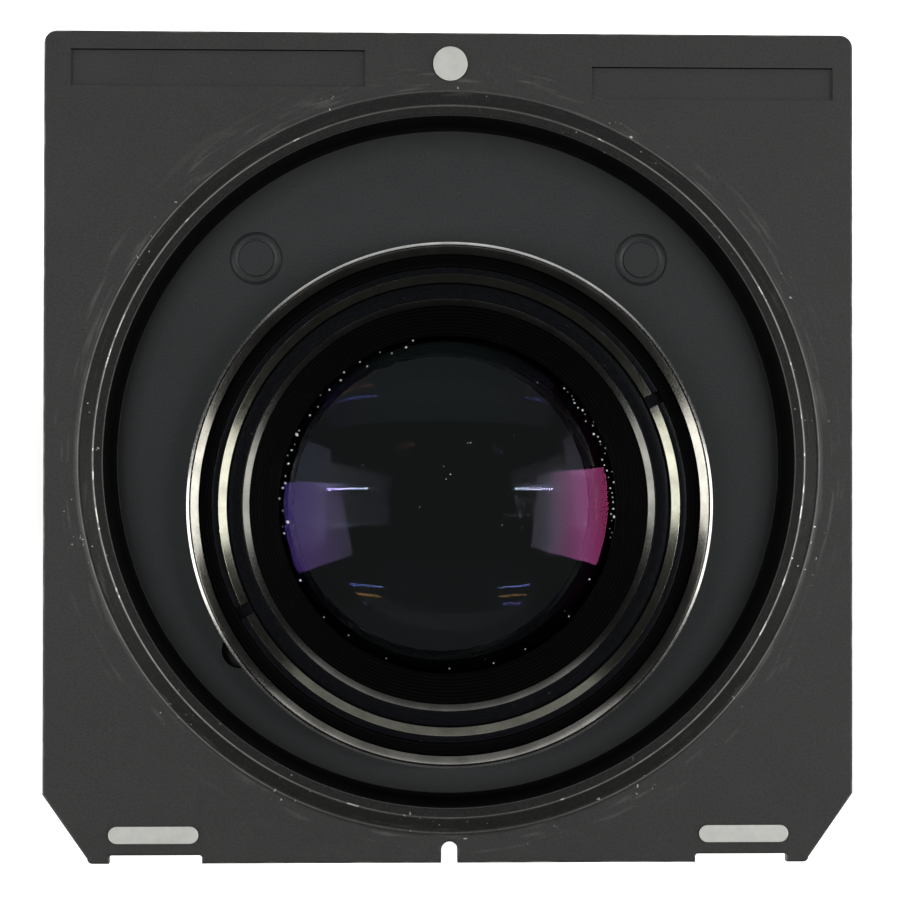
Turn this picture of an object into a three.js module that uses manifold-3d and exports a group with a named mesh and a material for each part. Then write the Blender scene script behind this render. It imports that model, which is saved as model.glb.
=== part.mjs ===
// Enlarging lens of 150 mm f/5.6, held in a square die-cast lens board by a jam nut.
// Millimetres. +Z is the optical axis from the front rim, on which the lens stands, to the rear.
// +Y runs from the notched lower edge of the board to its upper edge. The origin lies at z = 0
// under the middle of the board. The lens axis is offset from it by LENS_Y.
// The iris is drawn wide open. The ring closes it as it turns clockwise, seen from the rear.
import * as THREE from 'three';
import { mergeVertices } from 'three/addons/utils/BufferGeometryUtils.js';
import Module from 'manifold-3d';

const wasm = await Module();
wasm.setup();

// ---- driving dimensions ----
const LENS_Y = -5.7; // lens axis from the middle of the board
const REAR_TOP = 50.3; // rear end of the jam nut
const FLOOR_Z = 45.8; // rear face of the board's sunk floor
const FIT = 0.05; // radial clearance of a screwed or pushed fit
const RUN = 0.1; // radial clearance of a turning fit
const GAP = 0.03; // gap between stacked faces

const ROUND = 40; // sides of a ring
const BOARD_ROUND = 48; // sides of the board's large circles
const GLASS_SIDES = 24;
const PIN_SIDES = 6;
const SINK = 0.5; // how far a joined solid runs into the one it joins

const BOARD = {
  width: 80, height: 82, plateFront: FLOOR_Z + 1, plateRear: FLOOR_Z + 3,
  cornerR: 1.25, chamferX: 4.4, chamferY: 6.8, footR: 0.5,
  dishY: -1.4, dishFrontR: 36, dishFront: FLOOR_Z - 1.8, dishEdge: 0.6,
  rimBaseR: 36.6, rimCrestR: 35.1, rimInnerR: 34.2, lipR: 33.9, lipHeight: 0.4,
  floorR: 33.3, rimHeight: 0.9,
  notchWidth: 1.6, notchDepth: 2.1, cutoutX: 28.9, cutoutWidth: 9.1, cutoutDepth: 0.82,
  padHeight: 0.25, dotY: 37.9, dotR: 1.7, slotPadX: 29.1, slotPadY: -38.15, slotPadLength: 8.85,
  slotPadWidth: 1.7, stampDepth: 0.3, markX: 19.2, markY: 18.8, markOuterR: 2.5, markInnerR: 1.8,
  markDepth: 0.15, locatorR: 1.8, locatorRadius: 25.3, locatorAngle: 214.9,
};
// Middle and size of the two stamped panels in the board's upper corners.
const STAMPS = [
  { x: -22.9, y: 37.4, width: 29, height: 3.6 },
  { x: 26, y: 36.1, width: 24, height: 3.2 },
];

const NUT = { outerR: 25.9, edge: 0.18, landR: 25.6, boreR: 24.85, chamfer: 0.6 };

const BARREL = {
  front: 7, coreR: 27, boreR: 24.8, ledge: 28.6, cellBoreR: 22, step: 44.9, lockBoreR: 23.55,
  collarFront: 30.08, collarR: 30, collarRear: 39, waistR: 27.6, flangeFront: 41.4, flangeR: 31,
  neckRear: 48.8, neckR: 24.8, collarEdge: 0.5, neckEdge: 0.3,
};

const LOCK = { front: 46.35, rear: 48.6, outerR: 23.5, boreR: 22, chamfer: 0.8,
  chamferHeight: 0.7, notchWidth: 1.3, notchDepth: 0.8, notchAngle: 27.3 };

// Both cells hold the same glass, mirrored about the middle of the iris.
const CELL = {
  stopR: 14, floor: 0.8, innerBoreR: 16.55, step: 5.9, outerBoreR: 18.05, ringSeat: 13.78,
  ringBoreR: 20.5,
};
const REAR_CELL = { start: 29, end: 47.4, outerR: 21.95, flangeR: 23.45, flangeStart: 44.95,
  flangeEnd: 46.3 };
const FRONT_CELL = { start: 24, outerR: 24.7, rimR: 29, rimRear: 6.93, rimEdge: 0.4, threadR: 26,
  threadEdge: 0.3, webFront: 4.5 };
const LENS_RING = { outerR: 20.45, thickness: 4.6, chamferR: 19.8, chamferDrop: 0.6, glassR: 17,
  glassEdge: 0.6 };
const SPACER = { innerR: 15.7, outerR: 16.5 };
const NAME_RING = { front: 3.5, rear: 4.4, innerR: 18.2, outerR: 25.9, edge: 0.5 };

// Glass: radii of curvature and aperture radii of one half of the lens, counted from the iris out.
const GLASS = {
  innerR: 16.5, innerConcave: 60, innerConcaveR: 14.5, innerConvex: 45, innerConvexR: 15.5,
  innerEdge: 2.65, outerR: 18, middleConcave: 70, middleConcaveR: 15.4, middleCentre: 1.6,
  cement: 60, outerEdge: 1.3, outerConvex: 50,
};

const APERTURE_RING = {
  front: 14, rear: 30, gripRear: 23.4, gripR: 32, bandFront: 23.2, bandR: 31.4, bandRearR: 30.3,
  bandWidth: 1.6, clickFront: 15.6, clickHeight: 4.8,
  // A crown's and a flute's half widths are shares of the flute pitch.
  flutes: 24, fluteDepth: 0.8, crownHalf: 0.32, fluteHalf: 0.1,
};
const COLLAR = { front: 7, rear: 13.95, outerR: 30, edge: 0.5, screwZ: 10.4, screwR: 1,
  screwSunk: 0.3, screwAngles: [90, 210, 330] };

const STOPS = 7; // f/5.6 to f/45
const STOP_ANGLE = 9; // degrees of ring travel for each stop
const RING_TRAVEL = (STOPS - 1) * STOP_ANGLE;

const IRIS = {
  blades: 8, openR: 13.5, closedR: 2, bandR: 20.2, sweep: 140, pivotR: 21.4, armLength: 4.6,
  firstBlade: 25.5, bladePitch: 0.22, bladeThickness: 0.14, bladeStart: -6, armHalfWidth: 0.8,
  pivotPinR: 0.45, camPinR: 0.4,
  baseFront: 24.2, baseRear: 25.4, baseInnerR: 13.4, camFront: 27.4, camRear: 28.5, camInnerR: 20,
};
const DRIVE_Z = (IRIS.camFront + IRIS.camRear) / 2;
const DRIVE_ANGLE = 30; // where the drive screw stands when the iris is closed
const DRIVE = { tipR: 0.45, bodyR: 1, headR: 1.8, tipEnd: 24, bodyEnd: 24.85, headStart: 29,
  headEnd: 30.2 };
const CLICK = { angle: 200, span: 28, margin: 1.5, z: 16.2, height: 3.6, pocketR: 25.6,
  thickness: 0.1, restR: 25.75, noseR: 26.95, rivetAngle: 2.5, rivetR: 0.42, rivetHeadR: 0.8 };

// ---- angles ----
const rad = THREE.MathUtils.degToRad;
const BLADE_SWING = 2 * Math.asin((IRIS.openR - IRIS.closedR) / (2 * IRIS.pivotR));
// Direction of the drive arm from the pivot, blade closed. The cam pin then stays outside the blades.
const ARM_CLOSED = rad(-67.5);

// ---- materials ----
function finish(color, roughness, metalness) {
  return new THREE.MeshStandardMaterial({ color, roughness, metalness });
}
const castPaint = () => finish(0x393937, 0.55, 0.2);
const blackAnodised = () => finish(0x15161a, 0.35, 0.6);
const mattBlack = () => finish(0x0b0b0c, 0.85, 0.1);
const bladeSteel = () => finish(0x1d1e20, 0.5, 0.7);
const bareSteel = () => finish(0xb4b5b0, 0.3, 0.95);
const opticalGlass = () => new THREE.MeshStandardMaterial({
  color: 0x1a1030, roughness: 0.02, metalness: 0, transparent: true, opacity: 0.45,
});

// ---- solids ----
function toSolid(geometry) {
  const bare = geometry.clone();
  bare.deleteAttribute('normal');
  bare.deleteAttribute('uv');
  const merged = mergeVertices(bare, 1e-4);
  return new wasm.Manifold(new wasm.Mesh({
    numProp: 3,
    vertProperties: new Float32Array(merged.attributes.position.array),
    triVerts: new Uint32Array(merged.index.array),
  }));
}

function toGeometry(solid) {
  const mesh = solid.getMesh();
  const geometry = new THREE.BufferGeometry();
  geometry.setAttribute('position', new THREE.BufferAttribute(mesh.vertProperties, 3));
  geometry.setIndex(new THREE.BufferAttribute(mesh.triVerts, 1));
  geometry.computeVertexNormals();
  return geometry;
}

function subtractAll(solid, tools) {
  return tools.reduce((rest, tool) => rest.subtract(tool), solid);
}

// A body of revolution about +Z from a closed outline of [radius, z] points.
function turned(outline, sides = ROUND) {
  const points = outline.map(([r, z]) => new THREE.Vector2(r, z));
  const area = THREE.ShapeUtils.area(points);
  if (area < 0) points.reverse();
  points.push(points[0].clone());
  const geometry = new THREE.LatheGeometry(points, sides);
  geometry.rotateX(Math.PI / 2);
  return toSolid(geometry);
}

// A solid glass body of revolution, whose outline starts and ends on the axis.
function turnedOnAxis(outline, sides) {
  const points = outline.map(([r, z]) => new THREE.Vector2(r, z));
  const geometry = new THREE.LatheGeometry(points, sides);
  geometry.rotateX(Math.PI / 2);
  return toSolid(geometry);
}

function extruded(shape, z, height, curveSegments = 8) {
  const geometry = new THREE.ExtrudeGeometry(shape, {
    depth: height, bevelEnabled: false, curveSegments, steps: 1,
  });
  geometry.translate(0, 0, z);
  return toSolid(geometry);
}

// A cylinder along a radius of the lens, from radius r0 to radius r1 at height z.
function radialPin(radius, r0, r1, z, angle, sides = 12) {
  const geometry = new THREE.CylinderGeometry(radius, radius, r1 - r0, sides);
  geometry.rotateZ(Math.PI / 2);
  geometry.translate((r0 + r1) / 2, 0, z);
  geometry.rotateZ(rad(angle));
  return toSolid(geometry);
}

function uprightPin(x, y, z0, z1, radius, sides = PIN_SIDES) {
  const geometry = new THREE.CylinderGeometry(radius, radius, z1 - z0, sides);
  geometry.rotateX(Math.PI / 2);
  geometry.translate(x, y, (z0 + z1) / 2);
  return toSolid(geometry);
}

function block(width, depth, height, x, y, z) {
  const geometry = new THREE.BoxGeometry(width, depth, height);
  geometry.translate(x, y, z);
  return toSolid(geometry);
}

function circlePoints(radius, sides, x = 0, y = 0) {
  return Array.from({ length: sides }, (_, i) => {
    const turn = (2 * Math.PI * i) / sides;
    return new THREE.Vector2(x + radius * Math.cos(turn), y + radius * Math.sin(turn));
  });
}

function stadium(length, width, x, y) {
  const half = (length - width) / 2;
  const shape = new THREE.Shape();
  shape.absarc(x + half, y, width / 2, -Math.PI / 2, Math.PI / 2, false);
  shape.absarc(x - half, y, width / 2, Math.PI / 2, (3 * Math.PI) / 2, false);
  return shape;
}

// ---- lens board ----
function boardOutline() {
  const b = BOARD;
  const right = b.width / 2;
  const top = b.height / 2;
  const bottom = -top;
  const shape = new THREE.Shape();
  shape.moveTo(-right, top - b.cornerR);
  shape.absarc(-right + b.cornerR, top - b.cornerR, b.cornerR, Math.PI, Math.PI / 2, true);
  shape.absarc(right - b.cornerR, top - b.cornerR, b.cornerR, Math.PI / 2, 0, true);
  shape.lineTo(right, bottom + b.chamferY);
  shape.lineTo(right - b.chamferX, bottom + b.footR);
  shape.lineTo(right - b.chamferX - b.footR, bottom);
  const cutout = (side) => {
    const outer = side * (b.cutoutX + b.cutoutWidth / 2);
    const inner = side * (b.cutoutX - b.cutoutWidth / 2);
    const [first, last] = side > 0 ? [outer, inner] : [inner, outer];
    shape.lineTo(first, bottom);
    shape.lineTo(first, bottom + b.cutoutDepth);
    shape.lineTo(last, bottom + b.cutoutDepth);
    shape.lineTo(last, bottom);
  };
  cutout(1);
  const half = b.notchWidth / 2;
  shape.lineTo(half, bottom);
  shape.absarc(0, bottom + b.notchDepth - half, half, 0, Math.PI, false);
  shape.lineTo(-half, bottom);
  cutout(-1);
  shape.lineTo(-right + b.chamferX + b.footR, bottom);
  shape.lineTo(-right + b.chamferX, bottom + b.footR);
  shape.lineTo(-right, bottom + b.chamferY);
  return shape;
}

function lensBoard() {
  const b = BOARD;
  const crest = b.plateRear + b.rimHeight;
  const plate = extruded(boardOutline(), b.plateFront, b.plateRear - b.plateFront, 5);
  const inside = NUT.boreR / 2; // well inside the hole that is cut last
  const dish = turned([[inside, b.dishFront], [b.dishFrontR - b.dishEdge, b.dishFront],
    [b.dishFrontR, b.dishFront + b.dishEdge], [b.dishFrontR, b.plateRear - SINK],
    [b.rimBaseR, b.plateRear - SINK], [b.rimBaseR, b.plateRear], [b.rimCrestR, crest],
    [b.rimInnerR, crest], [inside, crest]], BOARD_ROUND).translate([0, b.dishY, 0]);
  const pads = [
    extruded(new THREE.Shape(circlePoints(b.dotR, 16, 0, b.dotY)), b.plateRear - SINK,
      SINK + b.padHeight),
    ...[-1, 1].map((side) => extruded(
      stadium(b.slotPadLength, b.slotPadWidth, side * b.slotPadX, b.slotPadY),
      b.plateRear - SINK, SINK + b.padHeight, 5)),
  ];
  const body = [dish, ...pads].reduce((sum, piece) => sum.add(piece), plate);
  const well = turned([[inside / 2, FLOOR_Z], [b.floorR, FLOOR_Z], [b.lipR, crest - b.lipHeight],
    [b.rimInnerR, crest], [b.rimInnerR, crest + 1], [inside / 2, crest + 1]], BOARD_ROUND)
    .translate([0, b.dishY, 0]);
  const hole = uprightPin(0, LENS_Y, b.dishFront - 1, crest + 2, BARREL.neckR + FIT, ROUND);
  const locator = uprightPin(
    b.locatorRadius * Math.cos(rad(b.locatorAngle)),
    LENS_Y + b.locatorRadius * Math.sin(rad(b.locatorAngle)),
    b.dishFront + 0.5, FLOOR_Z + 1, b.locatorR, 12);
  const marks = [-1, 1].map((side) => {
    const ring = new THREE.Shape(circlePoints(b.markOuterR, 14, side * b.markX, b.markY));
    ring.holes.push(new THREE.Path(circlePoints(b.markInnerR, 14, side * b.markX, b.markY)));
    return extruded(ring, FLOOR_Z - b.markDepth, 1);
  });
  const stamps = STAMPS.map((stamp) => block(stamp.width, stamp.height, 2 * b.stampDepth,
    stamp.x, stamp.y, b.plateRear));
  return subtractAll(body, [well, hole, locator, ...marks, ...stamps]);
}

// ---- rings behind the board ----
function jamNut() {
  const n = NUT;
  const ring = turned([[n.outerR, FLOOR_Z + GAP], [n.outerR, REAR_TOP - n.edge],
    [n.outerR - n.edge, REAR_TOP], [n.landR, REAR_TOP], [n.boreR, REAR_TOP - n.chamfer],
    [n.boreR, FLOOR_Z + GAP]]);
  return ring.translate([0, LENS_Y, 0]);
}

function rearLockRing() {
  const k = LOCK;
  const ring = turned([[k.outerR, k.front], [k.outerR, k.rear], [k.boreR + k.chamfer, k.rear],
    [k.boreR, k.rear - k.chamferHeight], [k.boreR, k.front]]);
  const notches = [0, 180].map((turn) => {
    const slot = block(6, k.notchWidth, 2 * k.notchDepth, k.boreR + k.chamfer, 0, k.rear);
    return slot.rotate([0, 0, k.notchAngle + turn]);
  });
  return subtractAll(ring, notches).translate([0, LENS_Y, 0]);
}

// ---- barrel ----
function barrelOutline() {
  const b = BARREL;
  return [[b.boreR, b.front], [b.coreR, b.front], [b.coreR, b.collarFront],
    [b.collarR, b.collarFront], [b.collarR, b.collarRear - b.collarEdge],
    [b.collarR - b.collarEdge, b.collarRear], [b.waistR, b.collarRear], [b.waistR, b.flangeFront],
    [b.flangeR, b.flangeFront], [b.flangeR, BOARD.dishFront - GAP],
    [b.neckR, BOARD.dishFront - GAP], [b.neckR, b.neckRear - b.neckEdge],
    [b.neckR - b.neckEdge, b.neckRear], [b.lockBoreR, b.neckRear], [b.lockBoreR, b.step],
    [b.cellBoreR, b.step], [b.cellBoreR, b.ledge], [b.boreR, b.ledge]];
}

// An annular sector between two radii and two angles in degrees.
function sector(r0, r1, from, to, z, height, steps = 8) {
  const arc = (radius, a, b) => Array.from({ length: steps + 1 }, (_, i) => {
    const turn = rad(a + ((b - a) * i) / steps);
    return new THREE.Vector2(radius * Math.cos(turn), radius * Math.sin(turn));
  });
  return extruded(new THREE.Shape([...arc(r1, from, to), ...arc(r0, to, from)]), z, height);
}

function barrel() {
  const b = BARREL;
  const margin = THREE.MathUtils.radToDeg((DRIVE.bodyR + 0.5) / b.coreR);
  const slot = sector(b.boreR - 1, b.coreR + 1, DRIVE_ANGLE - margin,
    DRIVE_ANGLE + RING_TRAVEL + margin, DRIVE_Z - DRIVE.bodyR - 0.1, 2 * DRIVE.bodyR + 0.2);
  const reach = CLICK.span / 2 + CLICK.margin;
  const pocket = sector(CLICK.pocketR, b.coreR + 1, CLICK.angle - reach, CLICK.angle + reach,
    CLICK.z, CLICK.height);
  return subtractAll(turned(barrelOutline()), [slot, pocket]).translate([0, LENS_Y, 0]);
}

// ---- cells ----
// Bore of a cell as [radius, distance from the iris end of the cell] points.
function cellBore(depth) {
  const c = CELL;
  return [[c.stopR, 0], [c.stopR, c.floor], [c.innerBoreR, c.floor], [c.innerBoreR, c.step],
    [c.outerBoreR, c.step], [c.outerBoreR, c.ringSeat], [c.ringBoreR, c.ringSeat],
    [c.ringBoreR, depth]];
}

function rearCell() {
  const c = REAR_CELL;
  const bore = cellBore(c.end - c.start).map(([r, d]) => [r, c.start + d]);
  const skin = [[c.outerR, c.end], [c.outerR, c.flangeEnd], [c.flangeR, c.flangeEnd],
    [c.flangeR, c.flangeStart], [c.outerR, c.flangeStart], [c.outerR, c.start]];
  return turned([...bore, ...skin]).translate([0, LENS_Y, 0]);
}

function frontCell() {
  const c = FRONT_CELL;
  const bore = cellBore(c.start - c.webFront).map(([r, d]) => [r, c.start - d]);
  const skin = [[c.threadR, c.webFront], [c.threadR, c.threadEdge],
    [c.threadR + c.threadEdge, 0], [c.rimR - c.rimEdge, 0], [c.rimR, c.rimEdge],
    [c.rimR, c.rimRear], [c.outerR, c.rimRear], [c.outerR, c.start]];
  return turned([...bore, ...skin]).translate([0, LENS_Y, 0]);
}

// Ring that screws down on the outer glass, with a chamfer and a cone that narrows to the glass.
function lensRing(seat, direction) {
  const g = LENS_RING;
  const end = g.thickness;
  const outline = [[g.glassR, 0], [g.outerR, 0], [g.outerR, end],
    [g.chamferR, end - g.chamferDrop], [g.glassR, g.glassEdge]];
  return turned(outline.map(([r, d]) => [r, seat + direction * d])).translate([0, LENS_Y, 0]);
}

function spacer(start, direction) {
  const from = start + direction * (CELL.floor + GAP + GLASS.innerEdge + GAP);
  const to = start + direction * (CELL.step - GAP);
  const { innerR, outerR } = SPACER;
  return turned([[innerR, from], [outerR, from], [outerR, to], [innerR, to]], GLASS_SIDES)
    .translate([0, LENS_Y, 0]);
}

function nameRing() {
  const n = NAME_RING;
  return turned([[n.innerR, n.rear], [n.innerR, n.front + n.edge], [n.innerR + n.edge, n.front],
    [n.outerR, n.front], [n.outerR, n.rear]]).translate([0, LENS_Y, 0]);
}

// ---- glass ----
const sagitta = (curvature, r) => curvature - Math.sqrt(curvature * curvature - r * r);

// Points of a spherical face from the axis out to radius rim, its centre at height z.
// bulge is +1 where the face falls away from the centre, and -1 where it rises.
function face(curvature, rim, z, bulge, steps = 3) {
  return Array.from({ length: steps + 1 }, (_, i) => {
    const r = (rim * i) / steps;
    return [r, z - bulge * sagitta(curvature, r)];
  });
}

// Outlines of the three elements of one half, with z counted from the iris end of the cell.
function halfOutlines() {
  const g = GLASS;
  const innerStart = CELL.floor + GAP;
  const innerConcaveZ = innerStart + sagitta(g.innerConcave, g.innerConcaveR);
  const innerTop = innerStart + g.innerEdge + sagitta(g.innerConvex, g.innerConvexR);
  const inner = [
    ...face(g.innerConcave, g.innerConcaveR, innerConcaveZ, 1), [g.innerR, innerStart],
    [g.innerR, innerStart + g.innerEdge],
    ...face(g.innerConvex, g.innerConvexR, innerTop, 1).reverse(),
  ];
  const middleStart = CELL.step + GAP;
  const middleConcaveZ = middleStart + sagitta(g.middleConcave, g.middleConcaveR);
  const cementZ = middleConcaveZ + g.middleCentre;
  const middle = [
    ...face(g.middleConcave, g.middleConcaveR, middleConcaveZ, 1), [g.outerR, middleStart],
    ...face(g.cement, g.outerR, cementZ, -1).reverse(),
  ];
  const outerStart = cementZ + GAP;
  const rimEnd = outerStart + sagitta(g.cement, g.outerR) + g.outerEdge;
  const outerTop = rimEnd + sagitta(g.outerConvex, g.outerR);
  const outer = [
    ...face(g.cement, g.outerR, outerStart, -1),
    ...face(g.outerConvex, g.outerR, outerTop, 1).reverse(),
  ];
  return { inner, middle, outer };
}

function element(outline, start, direction) {
  const placed = outline.map(([r, d]) => [r, start + direction * d]);
  if (direction < 0) placed.reverse();
  return turnedOnAxis(placed, GLASS_SIDES).translate([0, LENS_Y, 0]);
}

// ---- aperture control ----
// The pieces that turn are laid out with the iris closed, then turned to its open end.
function atOpen(solid) {
  return solid.rotate([0, 0, RING_TRAVEL]).translate([0, LENS_Y, 0]);
}

function apertureRing() {
  const a = APERTURE_RING;
  const boreR = BARREL.coreR + RUN;
  const grip = new THREE.Shape();
  const pitch = 360 / a.flutes;
  const corner = (radius, angle) => {
    const x = radius * Math.cos(rad(angle));
    const y = radius * Math.sin(rad(angle));
    return new THREE.Vector2(x, y);
  };
  const crown = [];
  for (let i = 0; i < a.flutes; i += 1) {
    const flute = i + 0.5;
    crown.push(corner(a.gripR, (i - a.crownHalf) * pitch));
    crown.push(corner(a.gripR, (i + a.crownHalf) * pitch));
    crown.push(corner(a.gripR - a.fluteDepth, (flute - a.fluteHalf) * pitch));
    crown.push(corner(a.gripR - a.fluteDepth, (flute + a.fluteHalf) * pitch));
  }
  grip.setFromPoints(crown);
  grip.holes.push(new THREE.Path(circlePoints(boreR, ROUND)));
  const band = turned([[boreR, a.bandFront], [a.bandR, a.bandFront],
    [a.bandR, a.bandFront + a.bandWidth], [a.bandRearR, a.rear], [boreR, a.rear]]);
  const ring = extruded(grip, a.front, a.gripRear - a.front).add(band);
  const hole = radialPin(DRIVE.bodyR + FIT, boreR - 1, a.gripR, DRIVE_Z, DRIVE_ANGLE);
  const counterbore = radialPin(DRIVE.headR + FIT, DRIVE.headStart - GAP, a.gripR + 1, DRIVE_Z,
    DRIVE_ANGLE, 16);
  const notches = Array.from({ length: STOPS }, (_, i) => {
    const groove = new THREE.Shape([corner(boreR - 0.5, 0.9), corner(boreR - 0.5, -0.9),
      corner(boreR + 0.25, 0)]);
    return extruded(groove, a.clickFront, a.clickHeight)
      .rotate([0, 0, CLICK.angle - i * STOP_ANGLE]);
  });
  return atOpen(subtractAll(ring, [hole, counterbore, ...notches]));
}

function driveScrew() {
  const d = DRIVE;
  const tip = radialPin(d.tipR, d.tipEnd, d.bodyEnd + 0.4, DRIVE_Z, DRIVE_ANGLE);
  const body = radialPin(d.bodyR, d.bodyEnd + 0.2, d.headStart + 0.4, DRIVE_Z, DRIVE_ANGLE);
  const head = radialPin(d.headR, d.headStart, d.headEnd, DRIVE_Z, DRIVE_ANGLE, 16);
  const slot = block(0.8, 0.5, 5, d.headEnd, 0, DRIVE_Z).rotate([0, 0, DRIVE_ANGLE]);
  return atOpen(tip.add(body).add(head).subtract(slot));
}

function frontCollar() {
  const c = COLLAR;
  const bore = BARREL.coreR + FIT;
  const ring = turned([[bore, c.front], [c.outerR - c.edge, c.front],
    [c.outerR, c.front + c.edge], [c.outerR, c.rear - c.edge], [c.outerR - c.edge, c.rear],
    [bore, c.rear]]);
  const holes = c.screwAngles.map((angle) =>
    radialPin(c.screwR + FIT, bore - 1, c.outerR + 1, c.screwZ, angle));
  return subtractAll(ring, holes).translate([0, LENS_Y, 0]);
}

function collarScrew(angle) {
  const c = COLLAR;
  const end = c.outerR - c.screwSunk;
  const body = radialPin(c.screwR, BARREL.coreR + FIT, end, c.screwZ, angle);
  const slot = block(1, 0.35, 3, end, 0, c.screwZ).rotate([0, 0, angle]);
  return body.subtract(slot).translate([0, LENS_Y, 0]);
}

// A bowed leaf in the barrel's pocket. Its nose is drawn pressed back clear of the ring's notches.
function clickSpring() {
  const c = CLICK;
  const steps = 12;
  const leaf = (offset) => Array.from({ length: steps + 1 }, (_, i) => {
    const share = (2 * i) / steps - 1;
    const radius = c.restR + (c.noseR - c.restR) * Math.cos((share * Math.PI) / 2) ** 4 - offset;
    const turn = rad((share * c.span) / 2);
    return new THREE.Vector2(radius * Math.cos(turn), radius * Math.sin(turn));
  });
  const outline = [...leaf(0).reverse(), ...leaf(c.thickness)];
  const strip = extruded(new THREE.Shape(outline), c.z + 0.3, c.height - 0.6);
  const hole = radialPin(c.rivetR + 0.08, c.pocketR - 1, c.noseR, c.z + c.height / 2,
    c.rivetAngle - c.span / 2, 8);
  return strip.subtract(hole).rotate([0, 0, c.angle]).translate([0, LENS_Y, 0]);
}

function springRivet() {
  const c = CLICK;
  const z = c.z + c.height / 2;
  const angle = c.rivetAngle - c.span / 2;
  const end = c.restR + 0.5;
  const shank = radialPin(c.rivetR, c.pocketR + GAP, end, z, angle, 8);
  const head = radialPin(c.rivetHeadR, c.restR + 0.15, end, z, angle, 8);
  return shank.add(head).rotate([0, 0, c.angle]).translate([0, LENS_Y, 0]);
}

// ---- iris ----
// Middle of the cam pin of the blade at angle 0, the ring turned by ringTurn from closed.
function camPin(ringTurn) {
  const swing = -BLADE_SWING * (ringTurn / rad(RING_TRAVEL));
  return new THREE.Vector2(
    IRIS.pivotR + IRIS.armLength * Math.cos(ARM_CLOSED + swing),
    IRIS.armLength * Math.sin(ARM_CLOSED + swing),
  );
}

function offsetBand(centre, halfWidth, capSteps = 4) {
  const last = centre.length - 1;
  const along = (i) => centre[Math.min(i + 1, last)].clone().sub(centre[Math.max(i - 1, 0)])
    .normalize();
  const side = (i, sign) => {
    const t = along(i);
    return new THREE.Vector2(centre[i].x - sign * t.y * halfWidth,
      centre[i].y + sign * t.x * halfWidth);
  };
  const cap = (i, start) => Array.from({ length: capSteps - 1 }, (_, k) => {
    const t = along(i);
    const turn = start + Math.atan2(t.y, t.x) - (Math.PI * (k + 1)) / capSteps;
    return new THREE.Vector2(centre[i].x + halfWidth * Math.cos(turn),
      centre[i].y + halfWidth * Math.sin(turn));
  });
  const left = centre.map((_, i) => side(i, 1));
  const right = centre.map((_, i) => side(i, -1)).reverse();
  return [...left, ...cap(last, Math.PI / 2), ...right, ...cap(0, -Math.PI / 2)];
}

function camSlotOutline() {
  const steps = 7;
  const centre = Array.from({ length: steps + 1 }, (_, i) => {
    const ringTurn = (rad(RING_TRAVEL + 1) * i) / steps - rad(0.5);
    return camPin(ringTurn).rotateAround(new THREE.Vector2(), -ringTurn);
  });
  return offsetBand(centre, IRIS.camPinR + RUN, 3);
}

function bladeAngle(index) {
  return (360 * index) / IRIS.blades;
}

function irisCamRing() {
  const ring = new THREE.Shape(circlePoints(BARREL.boreR - RUN, ROUND));
  ring.holes.push(new THREE.Path(circlePoints(IRIS.camInnerR, ROUND)));
  const slot = camSlotOutline();
  for (let i = 0; i < IRIS.blades; i += 1) {
    const points = slot.map((point) => point.clone()
      .rotateAround(new THREE.Vector2(), rad(bladeAngle(i))));
    ring.holes.push(new THREE.Path(points));
  }
  const body = extruded(ring, IRIS.camFront, IRIS.camRear - IRIS.camFront);
  const hole = radialPin(DRIVE.tipR + FIT, DRIVE.tipEnd - 0.1, BARREL.boreR + 1, DRIVE_Z,
    DRIVE_ANGLE, 8);
  return atOpen(body.subtract(hole));
}

function irisBaseRing() {
  const ring = new THREE.Shape(circlePoints(BARREL.boreR - FIT, ROUND));
  ring.holes.push(new THREE.Path(circlePoints(IRIS.baseInnerR, ROUND)));
  for (let i = 0; i < IRIS.blades; i += 1) {
    const x = IRIS.pivotR * Math.cos(rad(bladeAngle(i)));
    const y = IRIS.pivotR * Math.sin(rad(bladeAngle(i)));
    ring.holes.push(new THREE.Path(circlePoints(IRIS.pivotPinR + RUN, 8, x, y)));
  }
  return extruded(ring, IRIS.baseFront, IRIS.baseRear - IRIS.baseFront)
    .translate([0, LENS_Y, 0]);
}

// Outline of an open blade whose pivot lies on +X: a curved band with a root and a drive arm.
function bladeOutline() {
  const { openR, bandR, pivotR, sweep, bladeStart, armHalfWidth } = IRIS;
  const arc = (radius, from, to, steps) => Array.from({ length: steps + 1 }, (_, i) => {
    const turn = rad(from + ((to - from) * i) / steps);
    return new THREE.Vector2(radius * Math.cos(turn), radius * Math.sin(turn));
  });
  const pin = camPin(rad(RING_TRAVEL));
  const arm = offsetBand([new THREE.Vector2(pivotR, 0), pin], armHalfWidth, 3);
  const band = [...arc(openR, sweep, bladeStart, 9),
    ...arc(bandR, bladeStart, sweep + bladeStart, 9)];
  // A tab that carries the pivot pin, outside the band.
  const root = [new THREE.Vector2(bandR - 1, -1.6), new THREE.Vector2(pivotR, -0.8),
    new THREE.Vector2(pivotR + 0.7, 0.4), new THREE.Vector2(pivotR, 1.4),
    new THREE.Vector2(bandR - 1, 3.2)];
  return { band, root, arm };
}

function irisBlade(index) {
  const s = IRIS;
  const z = s.firstBlade + index * s.bladePitch;
  const plates = Object.values(bladeOutline())
    .map((points) => extruded(new THREE.Shape(points), z, s.bladeThickness));
  const middle = z + s.bladeThickness / 2;
  const pin = camPin(rad(RING_TRAVEL));
  const pivot = uprightPin(s.pivotR, 0, s.baseFront + 0.2, middle, s.pivotPinR);
  const follower = uprightPin(pin.x, pin.y, middle, s.camRear - 0.15, s.camPinR);
  const blade = [...plates, pivot, follower].reduce((sum, piece) => sum.add(piece));
  return blade.rotate([0, 0, bladeAngle(index)]).translate([0, LENS_Y, 0]);
}

// ---- assembly ----
const lens = new THREE.Group();

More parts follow.
